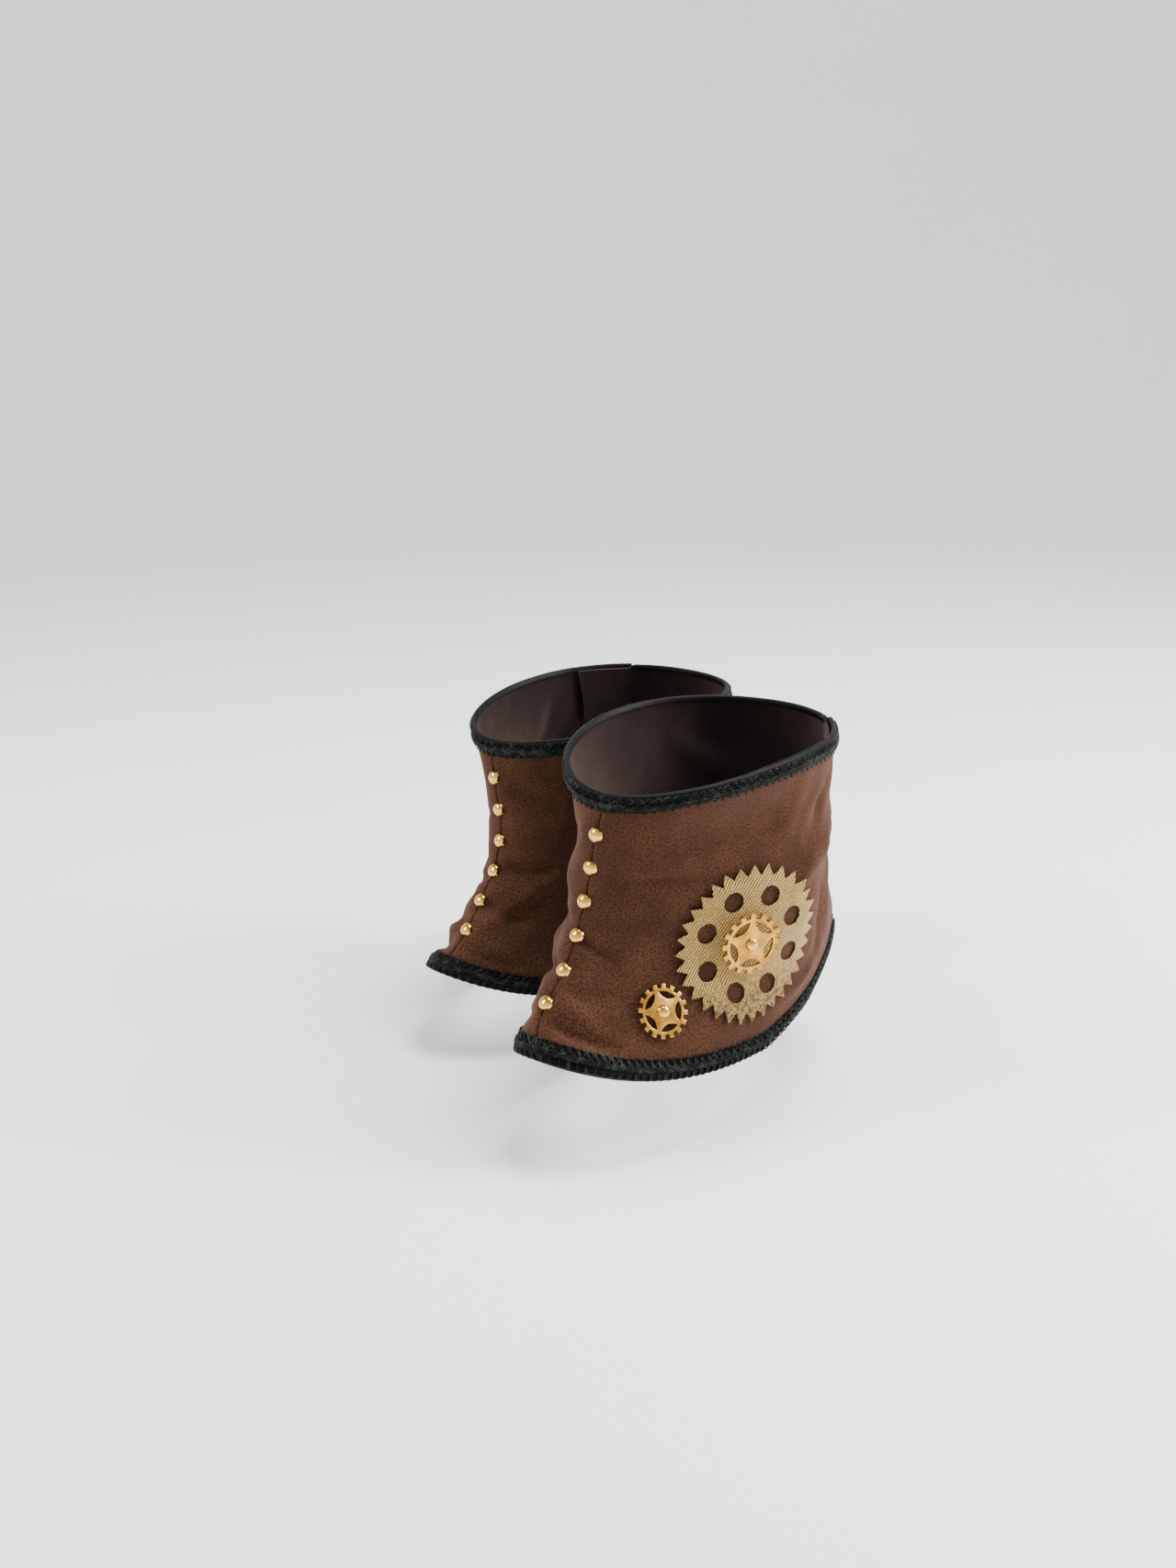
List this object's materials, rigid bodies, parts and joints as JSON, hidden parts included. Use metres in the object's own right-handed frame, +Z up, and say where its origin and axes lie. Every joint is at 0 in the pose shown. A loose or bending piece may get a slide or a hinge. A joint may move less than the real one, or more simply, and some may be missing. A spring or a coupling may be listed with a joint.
{
  "type": "pair of spats",
  "caption": "Pair of suede-cloth spats for wear over boots, with black gimp braid edges, domed studs down the front seam and decorative gears on the outer side.",
  "frame": {"origin": "the middle of the left ankle, inside the left spat, where the wearer's boot carries it", "axes": "+Z up, the wearer faces -Y, the wearer's left is +X; each foot turns out by 3 degrees"},
  "size_m": [0.2257, 0.2737, 0.1524],
  "materials": {
    "suede": "matte warm brown imitation suede with a short nap",
    "gimp_braid": "near-black looped and plaited gimp braid with a slight thread sheen",
    "stud_gold": "polished pale gold domes",
    "gold_mesh_cloth": "pale metallic gold woven mesh cloth with a raw cut edge",
    "cog_brass": "satin warm gold plate"
  },
  "bodies": {
    "root": {"left_outer_panel": "suede", "left_inner_panel": "suede", "left_top_braid": "gimp_braid", "left_hem_braid": "gimp_braid", "left_fabric_gear": "gold_mesh_cloth", "left_hub_gear": "cog_brass", "left_hub_gear_stud": "stud_gold", "left_small_gear": "cog_brass", "left_small_gear_stud": "stud_gold", "left_stud_1": "stud_gold", "left_stud_2": "stud_gold", "left_stud_3": "stud_gold", "left_stud_4": "stud_gold", "left_stud_5": "stud_gold", "left_stud_6": "stud_gold", "right_outer_panel": "suede", "right_inner_panel": "suede", "right_top_braid": "gimp_braid", "right_hem_braid": "gimp_braid", "right_fabric_gear": "gold_mesh_cloth", "right_hub_gear": "cog_brass", "right_hub_gear_stud": "stud_gold", "right_small_gear": "cog_brass", "right_small_gear_stud": "stud_gold", "right_stud_1": "stud_gold", "right_stud_2": "stud_gold", "right_stud_3": "stud_gold", "right_stud_4": "stud_gold", "right_stud_5": "stud_gold", "right_stud_6": "stud_gold"}
  },
  "joints": []
}
